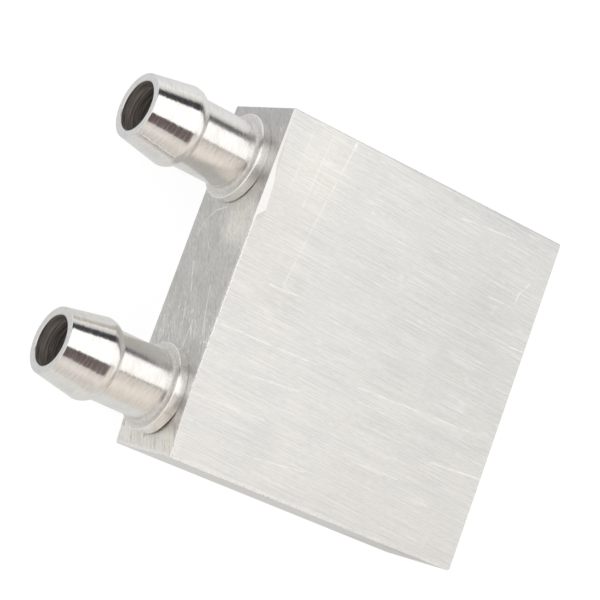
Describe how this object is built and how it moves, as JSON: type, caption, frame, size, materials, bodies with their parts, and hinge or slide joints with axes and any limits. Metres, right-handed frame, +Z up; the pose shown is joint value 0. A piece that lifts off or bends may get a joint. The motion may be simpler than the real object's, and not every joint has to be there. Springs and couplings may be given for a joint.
{
  "type": "liquid cooling cold plate",
  "caption": "Flat square aluminium cold plate with internal water channels and a pair of turned hose barbs side by side on one edge.",
  "frame": {"origin": "middle of the 40 x 40 mm square of the plate, on the plane of the contact face", "axes": "+Z up through the thickness to the clamp face, -Y out along the hose barbs, +X to the right seen from the barbs' side"},
  "size_m": [0.0402, 0.0548, 0.012],
  "materials": {
    "ground_aluminium": "satin, belt ground",
    "port_face_aluminium": "satin, hand ground across the ports",
    "rear_aluminium": "satin, ground",
    "turned_metal": "bright turned"
  },
  "bodies": {
    "root": {"channel_body": "ground_aluminium", "front_end_plate": "port_face_aluminium", "rear_end_plate": "rear_aluminium", "hose_barb_left": "turned_metal", "hose_barb_right": "turned_metal"}
  },
  "joints": []
}
